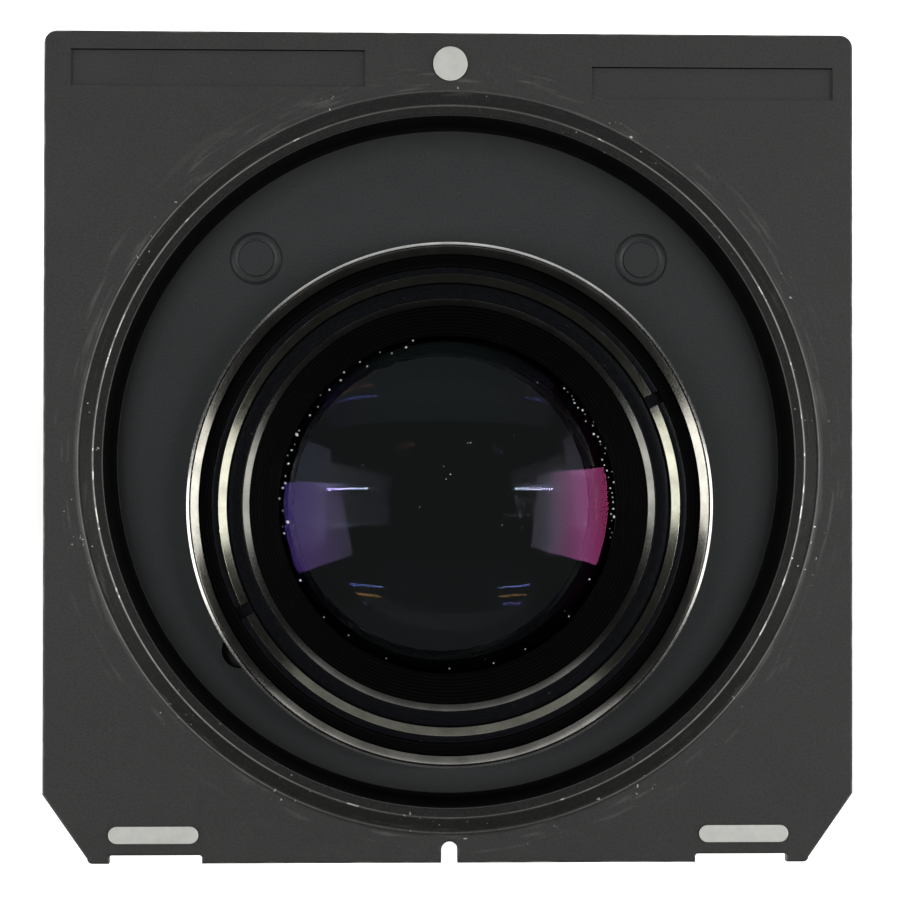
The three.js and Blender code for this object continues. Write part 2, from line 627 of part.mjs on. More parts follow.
function place(name, solid, material) {
  const mesh = new THREE.Mesh(toGeometry(solid), material);
  mesh.name = name;
  lens.add(mesh);
}

place('lens_board', lensBoard(), castPaint());
place('jam_nut', jamNut(), blackAnodised());
place('barrel', barrel(), blackAnodised());
place('rear_cell', rearCell(), blackAnodised());
place('rear_lock_ring', rearLockRing(), blackAnodised());
place('front_cell', frontCell(), blackAnodised());
place('name_ring', nameRing(), blackAnodised());
place('front_collar', frontCollar(), blackAnodised());
COLLAR.screwAngles.forEach((angle, i) =>
  place(`collar_screw_${i + 1}`, collarScrew(angle), bareSteel()));

const halves = [
  { side: 'rear', start: REAR_CELL.start, direction: 1 },
  { side: 'front', start: FRONT_CELL.start, direction: -1 },
];
const outlines = halfOutlines();
for (const { side, start, direction } of halves) {
  const seat = start + direction * (CELL.ringSeat + GAP);
  place(`${side}_lens_ring`, lensRing(seat, direction), mattBlack());
  place(`${side}_spacer`, spacer(start, direction), mattBlack());
  for (const [role, outline] of Object.entries(outlines)) {
    place(`${side}_${role}_element`, element(outline, start, direction), opticalGlass());
  }
}

place('aperture_ring', apertureRing(), blackAnodised());
place('drive_screw', driveScrew(), bareSteel());
place('click_spring', clickSpring(), bareSteel());
place('spring_rivet', springRivet(), bareSteel());
place('iris_base_ring', irisBaseRing(), mattBlack());
place('iris_cam_ring', irisCamRing(), mattBlack());
for (let i = 0; i < IRIS.blades; i += 1) {
  place(`iris_blade_${i + 1}`, irisBlade(i), bladeSteel());
}

export default lens;
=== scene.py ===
"""Enlarging lens held in a square die-cast lens board, seen from behind, on a pale floor."""

import math
import random

import bmesh
import bpy
from mathutils import Matrix, Vector


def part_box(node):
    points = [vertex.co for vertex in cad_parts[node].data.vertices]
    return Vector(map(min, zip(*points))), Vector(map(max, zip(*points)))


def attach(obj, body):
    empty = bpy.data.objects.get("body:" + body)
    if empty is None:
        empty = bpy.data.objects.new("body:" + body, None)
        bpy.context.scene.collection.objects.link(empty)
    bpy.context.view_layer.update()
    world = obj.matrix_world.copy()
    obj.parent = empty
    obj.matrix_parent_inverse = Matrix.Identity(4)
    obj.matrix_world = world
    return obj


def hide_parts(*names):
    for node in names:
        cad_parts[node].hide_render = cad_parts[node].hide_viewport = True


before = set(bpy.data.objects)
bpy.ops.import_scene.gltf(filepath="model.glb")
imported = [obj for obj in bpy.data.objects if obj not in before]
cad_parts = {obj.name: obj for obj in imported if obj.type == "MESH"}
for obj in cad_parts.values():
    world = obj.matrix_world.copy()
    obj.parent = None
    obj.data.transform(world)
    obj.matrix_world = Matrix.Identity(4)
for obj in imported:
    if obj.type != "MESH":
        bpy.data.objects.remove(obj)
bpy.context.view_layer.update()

MM = 0.001
LENS_BODY = "lens_body"
RING_BODY = "aperture_control"


# ---- places, from the frame, in millimetres ----
def box_mm(node):
    low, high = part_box(node)
    return low / MM, high / MM


nut_low, nut_high = box_mm("jam_nut")
board_low, board_high = box_mm("lens_board")
LENS_Y = (nut_low.y + nut_high.y) / 2
REAR_TOP = nut_high.z
FLOOR_Z = REAR_TOP - 4.5
PLATE_REAR = FLOOR_Z + 3
DISH_Y = -1.4
LENS_AXIS = (0, LENS_Y)
DISH_AXIS = (0, DISH_Y)

# Radii of the raised rim about the dish axis: root of the well, inner lip, crest, outer foot.
ROOT_R, LIP_R, CREST_R, FOOT_R = 33.0, 34.1, 35.05, 36.62


# ---- node graphs ----
class Graph:
    """A material's node tree, with short calls for the nodes that the finishes share."""

    def __init__(self, name):
        self.material = bpy.data.materials.new(name)
        self.material.use_nodes = True
        self.tree = self.material.node_tree
        self.bsdf = self.tree.nodes["Principled BSDF"]
        self.coordinates = self.node("ShaderNodeTexCoord").outputs["Object"]

    def node(self, kind, inputs=None, **properties):
        made = self.tree.nodes.new(kind)
        for key, value in properties.items():
            setattr(made, key, value)
        for key, value in (inputs or {}).items():
            self.feed(made.inputs[key], value)
        return made

    def feed(self, socket, value):
        if isinstance(value, bpy.types.NodeSocket):
            self.tree.links.new(value, socket)
        else:
            socket.default_value = value

    def set(self, **inputs):
        for key, value in inputs.items():
            self.feed(self.bsdf.inputs[key.replace("_", " ")], value)

    def math(self, operation, a, b=0.0, clamp=False):
        made = self.node("ShaderNodeMath", {0: a, 1: b}, operation=operation, use_clamp=clamp)
        return made.outputs[0]

    def product(self, *values):
        result = values[0]
        for value in values[1:]:
            result = self.math("MULTIPLY", result, value)
        return result

    def largest(self, *values):
        result = values[0]
        for value in values[1:]:
            result = self.math("MAXIMUM", result, value)
        return result

    def specular(self, level):
        """Sets the strength of the surface's mirror reflection; 0.5 is plain lacquer."""
        self.bsdf.inputs["Specular IOR Level"].default_value = level

    def mix(self, factor, a, b):
        made = self.node("ShaderNodeMix", data_type="RGBA")
        self.feed(made.inputs[0], factor)
        self.feed(made.inputs[6], a)
        self.feed(made.inputs[7], b)
        return made.outputs[2]

    def blend(self, factor, a, b):
        made = self.node("ShaderNodeMix", data_type="FLOAT")
        self.feed(made.inputs[0], factor)
        self.feed(made.inputs[2], a)
        self.feed(made.inputs[3], b)
        return made.outputs[0]

    def ramp(self, value, low, high, to_low=0.0, to_high=1.0):
        made = self.node("ShaderNodeMapRange", {0: value, 1: low, 2: high, 3: to_low, 4: to_high})
        return made.outputs[0]

    def noise(self, size_mm, detail=2.0, vector=None, roughness=0.5):
        made = self.node("ShaderNodeTexNoise", {
            "Vector": vector or self.coordinates, "Scale": 1 / (size_mm * MM), "Detail": detail,
            "Roughness": roughness})
        return made.outputs[0]

    def axes(self):
        made = self.node("ShaderNodeSeparateXYZ", {0: self.coordinates})
        return made.outputs

    def radius(self, axis):
        """Distance in metres from the upright axis through (x, y) in millimetres."""
        x, y, _ = self.axes()
        dx = self.math("SUBTRACT", x, axis[0] * MM)
        dy = self.math("SUBTRACT", y, axis[1] * MM)
        return self.math("SQRT", self.math("ADD", self.product(dx, dx), self.product(dy, dy)))

    def near(self, value, middle_mm, half_mm, soft_mm):
        """1 within half_mm of middle_mm, falling to 0 over soft_mm."""
        off = self.math("ABSOLUTE", self.math("SUBTRACT", value, middle_mm * MM))
        return self.ramp(off, (half_mm + soft_mm) * MM, half_mm * MM)

    def turned_vector(self, axis, drift=0.002):
        """Coordinates whose noise runs in circles round the axis, like turning marks."""
        x, y, z = self.axes()
        dx = self.math("SUBTRACT", x, axis[0] * MM)
        dy = self.math("SUBTRACT", y, axis[1] * MM)
        turn = self.math("MULTIPLY", self.math("ARCTAN2", dy, dx), drift)
        return self.node("ShaderNodeCombineXYZ", {0: self.radius(axis), 1: z, 2: turn}).outputs[0]

    def bump(self, height, strength, distance_mm, normal=None):
        inputs = {"Height": height, "Strength": strength, "Distance": distance_mm * MM}
        if normal is not None:
            inputs["Normal"] = normal
        return self.node("ShaderNodeBump", inputs).outputs[0]


def grey(value, tint=(1, 1, 1)):
    return tuple(value * t for t in tint) + (1,)


# ---- finishes ----
def well_painted_shade(g, r, z):
    """How much painted shade darkens the paint: most in the root of the well, fading out over its
    floor.
    """
    below_lip = g.ramp(z, (PLATE_REAR + 0.72) * MM, (PLATE_REAR + 0.5) * MM)
    across_floor = g.ramp(r, (ROOT_R - 2.4) * MM, ROOT_R * MM)
    inside_rim = g.ramp(r, (LIP_R + 0.5) * MM, (LIP_R + 0.2) * MM)
    return g.product(across_floor, below_lip, inside_rim, 0.95)


def rim_wear_and_highlights(g, x, z, r):
    """Bare metal on the raised rim: a rubbed crest, chips and scuffs from wear, and broken light
    lines along the crest and round the foot that are painted highlights.
    """
    sideways = g.math("ABSOLUTE", x)
    high = g.ramp(z, (PLATE_REAR + 0.66) * MM, (PLATE_REAR + 0.84) * MM)
    crest = g.product(g.near(r, CREST_R, 0.03, 0.06), high)
    # The rubbed patches grow more common toward the left and right sides.
    side_bias = g.ramp(sideways, 20 * MM, 33 * MM, 0.66, 0.59)
    rubbed = g.product(crest, g.math("GREATER_THAN", g.noise(2.4, 5), side_bias))
    # Painted highlight: a broken light line along the crest and round the foot, faint at the top
    # and bottom and strongest at the left and right sides.
    line = g.product(g.ramp(sideways, 8 * MM, 33 * MM, 0.10, 0.5),
                     g.ramp(g.noise(1.5, 4), 0.35, 0.65, 0.55, 1))
    foot = g.product(g.near(r, FOOT_R, 0.02, 0.07), line, 0.55)
    chips = g.product(g.near(r, 36.0, 0.6, 2.2), g.ramp(g.noise(0.5, 4), 0.695, 0.715),
                      g.ramp(g.noise(7, 1), 0.52, 0.58))
    streaks = g.noise(0.5, 3, g.turned_vector(DISH_AXIS, 0.004))
    scuff = g.product(g.near(r, 37.6, 0.9, 1.6), g.ramp(streaks, 0.58, 0.74, 0, 0.06))
    return g.largest(rubbed, g.product(crest, line), foot, chips, scuff)


def edge_wear(g, x, y, z):
    """Bare metal in patches along the board's outer edge."""
    edge_x = g.ramp(g.math("ABSOLUTE", x), 39.80 * MM, 39.92 * MM)
    edge_y = g.ramp(g.math("ABSOLUTE", y), 40.80 * MM, 40.92 * MM)
    arris = g.near(z, PLATE_REAR - 0.12, 0.04, 0.14)
    return g.product(g.largest(edge_x, edge_y), arris,
                     g.ramp(g.noise(2.6, 5), 0.46, 0.66, 0, 0.4))


def cast_paint(name="cast_paint", gain=1.0, specular=0.32):
    """Satin black paint on a casting: fine grain, cooler in the well with painted shade in its
    root, worn on the rim with painted highlight lines.
    """
    g = Graph(name)
    x, y, z = g.axes()
    r = g.radius(DISH_AXIS)
    mottle = g.noise(6, 3)
    neutral, cool = (1, 1, 0.985), (0.84, 0.99, 1.06)
    plate = g.mix(mottle, grey(0.0152 * gain, neutral), grey(0.020 * gain, neutral))
    well = g.mix(mottle, grey(0.012 * gain, cool), grey(0.016 * gain, cool))
    in_well = g.ramp(z, (PLATE_REAR - 0.3) * MM, (PLATE_REAR - 1.2) * MM)
    speckle = g.ramp(g.noise(0.19, 1), 0.3, 0.7, 0.70, 1.25)
    paint = g.node("ShaderNodeVectorMath", {0: g.mix(in_well, plate, well), 3: speckle},
                   operation="SCALE").outputs[0]
    # Painted shade: the paint goes near-black in the root of the well, fading out over its floor.
    paint = g.mix(well_painted_shade(g, r, z), paint, grey(0.0015))
    dust = g.ramp(g.noise(0.22, 1), 0.74, 0.80)
    paint = g.mix(g.product(dust, 0.25), paint, grey(0.12, (1, 1, 0.95)))
    # Bare metal where the paint is worn, and the painted highlight lines along the rim.
    wear_and_highlight = g.largest(rim_wear_and_highlights(g, x, z, r), edge_wear(g, x, y, z))
    grain = g.math("ADD", g.noise(0.28, 3), g.product(g.noise(1.1, 2), 0.5))
    g.set(Base_Color=g.mix(wear_and_highlight, paint, grey(0.50, (1, 0.99, 0.94))),
          Metallic=g.product(wear_and_highlight, 0.6),
          Roughness=g.blend(wear_and_highlight, g.ramp(g.noise(1.4, 3), 0.2, 0.8, 0.42, 0.56), 0.34),
          Normal=g.bump(grain, 0.35, 0.03))
    g.specular(specular)
    return g.material


def painted_shade_black():
    """Near-black, dull paint laid on as painted shade on the wall and root of the well, and as a
    painted shadow on the upper walls of the stamped panels.
    """
    g = Graph("painted_shade_black")
    grain = g.noise(0.25, 3)
    g.set(Base_Color=g.mix(g.noise(2.5, 3), grey(0.0010), grey(0.0030)),
          Roughness=g.ramp(grain, 0.2, 0.8, 0.72, 0.9), Normal=g.bump(grain, 0.4, 0.03))
    g.specular(0.04)
    return g.material


def milled_aluminium():
    """Bare milled datum faces, with long scratches and a few dull patches."""
    g = Graph("milled_aluminium")
    stretched = g.node("ShaderNodeMapping", {"Vector": g.coordinates, "Scale": (0.12, 1, 1)},
                       vector_type="POINT").outputs[0]
    lines = g.noise(0.10, 2, stretched)
    patches = g.noise(1.1, 3)
    scratch = g.ramp(g.noise(0.35, 4), 0.68, 0.72)
    base = g.mix(patches, grey(0.42, (1, 1, 0.95)), grey(0.56, (1, 1, 0.96)))
    g.set(Base_Color=g.mix(g.product(scratch, 0.5), base, grey(0.28)),
          Metallic=0.35, Roughness=g.ramp(lines, 0.3, 0.7, 0.30, 0.46),
          Normal=g.bump(g.math("SUBTRACT", lines, scratch), 0.3, 0.01))
    return g.material


def anodised(name, tone=0.0055, specular=0.5):
    """Black anodised, turned aluminium with circular tool marks and faint rubbed spots."""
    g = Graph(name)
    marks = g.noise(0.07, 2, g.turned_vector(LENS_AXIS))
    spots = g.ramp(g.noise(0.6, 4), 0.70, 0.76)
    tint = (0.85, 0.9, 1.25)
    shade = g.mix(marks, grey(tone * 0.7, tint), grey(tone * 1.5, tint))
    g.set(Base_Color=g.mix(g.product(spots, 0.25), shade, grey(0.10)),
          Metallic=0.15, Roughness=g.ramp(marks, 0.3, 0.7, 0.20, 0.30),
          Normal=g.bump(marks, 0.2, 0.008))
    g.specular(specular)
    return g.material


def bright_edge(name, tone, tint=(1, 0.975, 0.89), roughness=0.15):
    """A chamfer turned bright after anodising, stained unevenly round the ring."""
    g = Graph(name)
    vector = g.turned_vector(LENS_AXIS, 0.006)
    marks = g.noise(0.05, 2, vector)
    stain = g.noise(2.4, 3)
    dark = grey(tone * 0.72, tint)
    g.set(Base_Color=g.mix(g.ramp(stain, 0.35, 0.62), dark, grey(tone, tint)), Metallic=1.0,
          Roughness=g.ramp(marks, 0.3, 0.7, roughness - 0.04, roughness + 0.10),
          Normal=g.bump(marks, 0.25, 0.006))
    return g.material


def matt_black():
    """Anti-reflection paint over fine baffle lines."""
    g = Graph("matt_black")
    lines = g.noise(0.12, 1, g.turned_vector(LENS_AXIS, 0.0005))
    speck = g.ramp(g.noise(0.16, 2), 0.74, 0.79)
    g.set(Base_Color=g.mix(g.product(speck, 0.2), grey(0.0008, (0.9, 1, 1)), grey(0.02)),
          Roughness=g.ramp(lines, 0.3, 0.7, 0.62, 0.80), Normal=g.bump(lines, 0.6, 0.02))
    g.specular(0.03)
    return g.material


def blade_steel():
    """Blackened spring steel with rub marks along the sweep of the blades."""
    g = Graph("blade_steel")
    rub = g.noise(0.5, 4, g.turned_vector(LENS_AXIS, 0.003))
    g.set(Base_Color=g.mix(rub, grey(0.035, (0.93, 1, 0.97)), grey(0.075, (0.95, 1, 0.97))),
          Metallic=0.5, Roughness=g.ramp(rub, 0.3, 0.7, 0.38, 0.55),
          Normal=g.bump(rub, 0.2, 0.01))
    return g.material


def bare_steel():
    g = Graph("bare_steel")
    fine = g.noise(0.15, 3)
    g.set(Base_Color=g.mix(g.noise(1.0, 3), grey(0.36), grey(0.52, (1, 1, 0.97))), Metallic=1.0,
          Roughness=g.ramp(fine, 0.3, 0.7, 0.24, 0.40), Normal=g.bump(fine, 0.25, 0.01))
    return g.material


def coated_glass(name, hues):
    """Coated optical glass; its reflection shifts through the hues from the -X to the +X edge."""
    g = Graph(name)
    smear = g.noise(5, 2)
    across = g.ramp(g.axes()[0], -17 * MM, 17 * MM)
    bands = g.node("ShaderNodeValToRGB", {0: across})
    stops = bands.color_ramp.elements
    while len(stops) < len(hues):
        stops.new(0.5)
    for i, hue in enumerate(hues):
        stops[i].position = i / (len(hues) - 1)
        stops[i].color = hue + (1,)
    g.set(Base_Color=(0.90, 0.92, 0.92, 1), IOR=1.55,
          Roughness=g.ramp(smear, 0.45, 0.75, 0.0, 0.008),
          Transmission_Weight=1.0, Specular_Tint=bands.outputs[0])
    return g.material


def white_fill():
    g = Graph("white_fill")
    g.set(Base_Color=g.mix(g.noise(0.5, 3), grey(0.55, (1, 1, 0.95)), grey(0.72, (1, 1, 0.96))),
          Roughness=0.55, Normal=g.bump(g.noise(0.2, 2), 0.2, 0.01))
    return g.material


def dust_grain():
    g = Graph("dust_grain")
    g.set(Base_Color=g.mix(g.noise(0.2, 2), grey(0.55), grey(0.9)), Roughness=0.8)
    return g.material


PAINT = cast_paint()
# Painted shade: a darker, less glossy copy of the cast paint, used on the rim's outer flank.
RIM_SHADED_PAINT = cast_paint("cast_paint_rim_shaded", 0.75, 0.08)
# Near-black paint laid on as painted shade and painted shadow on the casting.
SHADE_BLACK = painted_shade_black()
MILLED = milled_aluminium()
ANODISED = anodised("black_anodised")
# Painted shade: a darker, less reflective copy of the black anodising for the rings that face the
# camera.
ANODISED_SHADED = anodised("black_anodised_shaded", tone=0.003, specular=0.14)
EDGE_NUT = bright_edge("worn_outer_edge", 0.32, (1, 1, 0.97), 0.2)
EDGE_BRIGHT = bright_edge("bright_chamfer", 0.19)
EDGE_LOCK = bright_edge("bright_chamfer_green", 0.17, (1, 1, 0.84))
EDGE_GREY = bright_edge("grey_chamfer", 0.09, (1, 1, 0.94), 0.2)
MATT = matt_black()
BLADE = blade_steel()
STEEL = bare_steel()
GREEN_GREY = (0.09, 0.13, 0.12)
GLASS_REAR = coated_glass("coated_glass_rear", (
    (0.04, 0.02, 0.27), (0.15, 0.08, 0.31), (0.08, 0.075, 0.13), GREEN_GREY, GREEN_GREY, GREEN_GREY,
    GREEN_GREY, (0.08, 0.09, 0.11), (0.10, 0.09, 0.14), (0.60, 0.13, 0.46), (0.50, 0.02, 0.13)))
VIOLET = (0.26, 0.19, 0.50)
GLASS_FRONT = coated_glass("coated_glass_front", (VIOLET, VIOLET))
GLASS_INNER = coated_glass("coated_glass_inner", ((0.075, 0.08, 0.13), (0.12, 0.09, 0.15)))
CEMENT = coated_glass("cemented_face", ((0.008, 0.009, 0.014), (0.011, 0.009, 0.012)))
WHITE = white_fill()
DUST = dust_grain()


# ---- mesh helpers, in millimetres ----
def new_object(name, vertices, faces, materials, indices=None):
    mesh = bpy.data.meshes.new(name)
    mesh.from_pydata([tuple(c * MM for c in v) for v in vertices], [], faces)
    for material in materials:
        mesh.materials.append(material)
    if indices:
        mesh.polygons.foreach_set("material_index", indices)
    piece = bpy.data.objects.new(name, mesh)
    bpy.context.scene.collection.objects.link(piece)
    return piece


def smooth(piece, degrees=38, weighted=False):
    mesh = piece.data
    mesh.polygons.foreach_set("use_smooth", [True] * len(mesh.polygons))
    mesh.set_sharp_from_angle(angle=math.radians(degrees))
    if weighted:
        modifier = piece.modifiers.new("weighted", "WEIGHTED_NORMAL")
        modifier.keep_sharp = True
    return piece


def weld(piece):
    work = bmesh.new()
    work.from_mesh(piece.data)
    bmesh.ops.remove_doubles(work, verts=work.verts, dist=1e-8)
    bmesh.ops.dissolve_degenerate(work, edges=work.edges, dist=1e-8)
    bmesh.ops.recalc_face_normals(work, faces=work.faces)
    work.to_mesh(piece.data)
    work.free()


def bake(piece):
    """Makes the piece's modifiers part of its mesh."""
    graph = bpy.context.evaluated_depsgraph_get()
    mesh = bpy.data.meshes.new_from_object(piece.evaluated_get(graph))
    piece.modifiers.clear()
    piece.data = mesh
    return piece


def combine(piece, tools, operation):
    """Joins or cuts with each tool in turn, and throws the tools away."""
    for tool in tools:
        modifier = piece.modifiers.new("solid", "BOOLEAN")
        modifier.operation = operation
        modifier.solver = "MANIFOLD"
        modifier.object = tool
        bake(piece)
        bpy.data.objects.remove(tool)
    return piece


def show(piece, body, slot, *nodes):
    """Puts a finished piece on its body, in place of CAD nodes."""
    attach(piece, body)
    if nodes:
        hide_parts(*nodes)
    return piece


def rounded(outline, radius, steps=3):
    """The closed outline with each corner replaced by a short curve."""
    result = []
    count = len(outline)
    for i, (r, z, finish) in enumerate(outline):
        here = Vector((r, z))
        before = Vector(outline[i - 1][:2]) - here
        after = Vector(outline[(i + 1) % count][:2]) - here
        reach = min(radius, before.length * 0.42, after.length * 0.42)
        start = here + before.normalized() * reach
        end = here + after.normalized() * reach
        for k in range(steps + 1):
            t = k / steps
            point = start * (1 - t) ** 2 + here * 2 * t * (1 - t) + end * t * t
            result.append((point.x, point.y, finish))
    return result


def lathe(name, outline, materials, radius=0.06, sides=256, axis=LENS_AXIS):
    """A ring turned from a closed outline of (radius, height, index of the finish) points."""
    area = sum(a[0] * b[1] - b[0] * a[1] for a, b in zip(outline, outline[1:] + outline[:1]))
    if area < 0:
        flipped = outline[::-1]
        finishes = [point[2] for point in flipped]
        outline = [(r, z, finishes[(i + 1) % len(flipped)]) for i, (r, z, _) in enumerate(flipped)]
    points = rounded(outline, radius) if radius else outline
    return spin(name, [points] * sides, materials, axis)


def spin(name, columns, materials, axis=LENS_AXIS):
    """A closed ring whose outline at each equal turn is one of the columns."""
    count = len(columns[0])
    sides = len(columns)
    vertices, faces, indices = [], [], []
    for j, column in enumerate(columns):
        turn = 2 * math.pi * j / sides
        across, along = math.cos(turn), math.sin(turn)
        vertices += [(axis[0] + r * across, axis[1] + r * along, z) for r, z, _ in column]
    for j in range(sides):
        here, there = j * count, ((j + 1) % sides) * count
        for i in range(count):
            k = (i + 1) % count
            faces.append((here + i, there + i, there + k, here + k))
            indices.append(columns[0][i][2])
    return smooth(new_object(name, vertices, faces, materials, indices))


def lens_solid(name, profile, materials, finishes, sides=160):
    """A glass element turned from a profile between two points on the axis.

    finishes gives the index of the material for each step of the profile.
    """
    vertices, faces = [], []
    for j in range(sides):
        turn = 2 * math.pi * j / sides
        vertices += [(r * math.cos(turn), LENS_Y + r * math.sin(turn), z) for r, z in profile]
    count = len(profile)
    for j in range(sides):
        here, there = j * count, ((j + 1) % sides) * count
        faces += [(here + i, there + i, there + i + 1, here + i + 1) for i in range(count - 1)]
    piece = new_object(name, vertices, faces, materials, finishes * sides)
    weld(piece)
    return smooth(piece, 30)


def prism(name, outline, low, high, materials=(), edge=0.0, segments=3):
    """An upright solid on a plan outline, its top and bottom edges rounded by edge."""
    count = len(outline)
    vertices = [(x, y, low) for x, y in outline] + [(x, y, high) for x, y in outline]
    faces = [tuple(range(count))[::-1], tuple(range(count, 2 * count))]
    faces += [(i, (i + 1) % count, count + (i + 1) % count, count + i) for i in range(count)]
    piece = new_object(name, vertices, faces, materials)
    work = bmesh.new()
    work.from_mesh(piece.data)
    bmesh.ops.recalc_face_normals(work, faces=work.faces)
    if edge:
        rims = [e for e in work.edges if abs(e.verts[0].co.z - e.verts[1].co.z) < 1e-9]
        bmesh.ops.bevel(work, geom=rims, offset=edge * MM, segments=segments, profile=0.5,
                        affect="EDGES", clamp_overlap=True)
    work.to_mesh(piece.data)
    work.free()
    return piece


def arc(x, y, radius, start, end, steps):
    turns = [math.radians(start + (end - start) * i / steps) for i in range(steps + 1)]
    return [(x + radius * math.cos(t), y + radius * math.sin(t)) for t in turns]


def circle(x, y, radius, sides):
    return arc(x, y, radius, 0, 360, sides)[:-1]


def radial_cylinder(radius, r0, r1, z, degrees, sides=48, materials=(), name="drill"):
    """A cylinder along a radius of the lens."""
    turn = Matrix.Rotation(math.radians(degrees), 4, "Z")
    vertices = []
    for r in (r0, r1):
        for px, pz in circle(0, 0, radius, sides):
            p = turn @ Vector((r, px, pz + z))
            vertices.append((p.x, p.y + LENS_Y, p.z))
    faces = [tuple(range(sides))[::-1], tuple(range(sides, 2 * sides))]
    faces += [(i, (i + 1) % sides, sides + (i + 1) % sides, sides + i) for i in range(sides)]
    piece = new_object(name, vertices, faces, materials)
    weld(piece)
    return piece


def sector(r0, r1, start, end, low, high, steps=40):
    outline = arc(0, LENS_Y, r1, start, end, steps) + arc(0, LENS_Y, r0, end, start, steps)
    return prism("sector", outline, low, high)


# ---- lens board ----
BOARD_HALF_WIDTH = board_high.x
BOARD_TOP = board_high.y
BOARD_BOTTOM = board_low.y


def plate_outline():
    right, top, bottom = BOARD_HALF_WIDTH, BOARD_TOP, BOARD_BOTTOM
    corner, foot, chamfer_x, chamfer_y = 1.25, 0.5, 4.4, 6.8
    cut_in, cut_out, cut_depth, notch_r, notch_depth = 24.35, 33.45, 0.82, 0.8, 2.1
    half = [(right, bottom + chamfer_y), (right - chamfer_x, bottom + foot)]
    half += arc(right - chamfer_x - foot, bottom + foot, foot, 0, -90, 4)[1:]
    half += [(cut_out, bottom)]
    half += arc(cut_out - 0.25, bottom + cut_depth - 0.25, 0.25, 0, 90, 3)
    half += arc(cut_in + 0.25, bottom + cut_depth - 0.25, 0.25, 90, 180, 3)
    half += [(cut_in, bottom), (notch_r, bottom)]
    notch = arc(0, bottom + notch_depth - notch_r, notch_r, 0, 90, 8)
    left = [(-x, y) for x, y in (half + notch[:-1])[::-1]]
    crown = arc(-right + corner, top - corner, corner, 180, 90, 6)
    crown += arc(right - corner, top - corner, corner, 90, 0, 6)
    return (crown + half + notch + left)[::-1]


def slot_outline(x, y, length, width, steps=10):
    reach = (length - width) / 2
    ends = arc(x + reach, y, width / 2, -90, 90, steps)
    return ends + arc(x - reach, y, width / 2, 90, 270, steps)


def board_finish(place, normal):
    """Index of the finish of a face of the casting: paint, milled, near-black painted shade, or the
    darker rim paint that is also painted shade.
    """
    above_plate = place.z - PLATE_REAR
    off_middle = abs(place.x)
    r = math.hypot(place.x, place.y - DISH_Y)
    on_pad = place.y > 36 or off_middle > 24 and place.y < -37
    on_crest = 34.95 < r < 35.2
    if on_pad and above_plate > 0.15:
        return 1
    # Painted shade: the wall and root of the well get the near-black paint.
    if ROOT_R - 0.05 < r < LIP_R and place.z > FLOOR_Z + 0.005:
        return 2
    # Painted shade: the rim's flank gets the darker, less glossy copy of the paint.
    if LIP_R + 0.1 < r < FOOT_R - 0.12 and above_plate > 0.05 and not on_crest:
        return 3
    # Painted shadow: the upper wall of each stamped panel gets the near-black paint.
    if place.y > 33.5 and -0.33 < above_plate < -0.01 and normal.y < -0.3:
        return 2  # the upper wall of a stamped panel
    return 0


def lens_board():
    crest = PLATE_REAR + 0.9
    front = board_low.z
    plate = prism("lens_board_casting", plate_outline(), PLATE_REAR - 2, PLATE_REAR,
                  [PAINT, MILLED, SHADE_BLACK, RIM_SHADED_PAINT], 0.28)
    rim = [(10, front, 0), (35.4, front, 0), (36, front + 0.6, 0), (36, PLATE_REAR - 0.5, 0),
           (37.3, PLATE_REAR - 0.5, 0), (37.3, PLATE_REAR - 0.02, 0),
           (36.85, PLATE_REAR + 0.03, 0), (36.7, PLATE_REAR + 0.13, 0),
           (36.52, PLATE_REAR + 0.13, 0), (36.38, PLATE_REAR + 0.08, 0),
           (35.35, crest - 0.2, 0), (35.12, crest, 0), (10, crest, 0)]
    dish = lathe("dish", rim, [PAINT], 0.12, 256, DISH_AXIS)
    pad_low, pad_high = PLATE_REAR - 0.6, PLATE_REAR + 0.25
    pads = [prism("pad", circle(0, 37.9, 1.7, 48), pad_low, pad_high, (), 0.06, 2)]
    pads += [prism("pad", slot_outline(side * 29.1, -38.15, 8.85, 1.7), pad_low, pad_high, (),
                   0.06, 2) for side in (-1, 1)]
    combine(plate, [dish] + pads, "UNION")
    well = [(5, FLOOR_Z, 0), (33.0, FLOOR_Z, 0), (33.35, FLOOR_Z + 0.35, 0),
            (33.85, crest - 0.5, 0), (34.05, crest - 0.14, 0), (34.3, crest, 0),
            (34.3, crest + 1, 0), (5, crest + 1, 0)]
    cuts = [lathe("well", well, [PAINT], 0.12, 256, DISH_AXIS)]
    cuts.append(prism("hole", circle(0, LENS_Y, 24.85, 128), front - 1, crest + 2))
    angle = math.radians(214.9)
    locator = circle(25.3 * math.cos(angle), LENS_Y + 25.3 * math.sin(angle), 1.8, 40)
    cuts.append(prism("locator", locator, front + 0.5, FLOOR_Z + 1))
    for side in (-1, 1):
        groove = [(1.6, FLOOR_Z + 0.3, 0), (1.78, FLOOR_Z - 0.16, 0), (2.1, FLOOR_Z - 0.04, 0),
                  (2.3, FLOOR_Z - 0.04, 0), (2.52, FLOOR_Z - 0.2, 0), (2.8, FLOOR_Z + 0.3, 0)]
        cuts.append(lathe("mark", groove, [PAINT], 0.05, 64, (side * 19.2, 18.8)))
    for x, y, width, height in ((-22.9, 37.4, 29, 3.6), (26, 36.1, 24, 3.2)):
        half_w, half_h = width / 2, height / 2
        corners = [(x - half_w, y - half_h), (x + half_w, y - half_h), (x + half_w, y + half_h),
                   (x - half_w, y + half_h)]
        cuts.append(prism("stamp", corners, PLATE_REAR - 0.34, PLATE_REAR + 1, (), 0.08, 2))
    combine(plate, cuts, "DIFFERENCE")
    for face in plate.data.polygons:
        face.material_index = board_finish(face.center / MM, face.normal)
    smooth(plate, 32, weighted=True)
    return show(plate, LENS_BODY, "cast_paint", "lens_board")


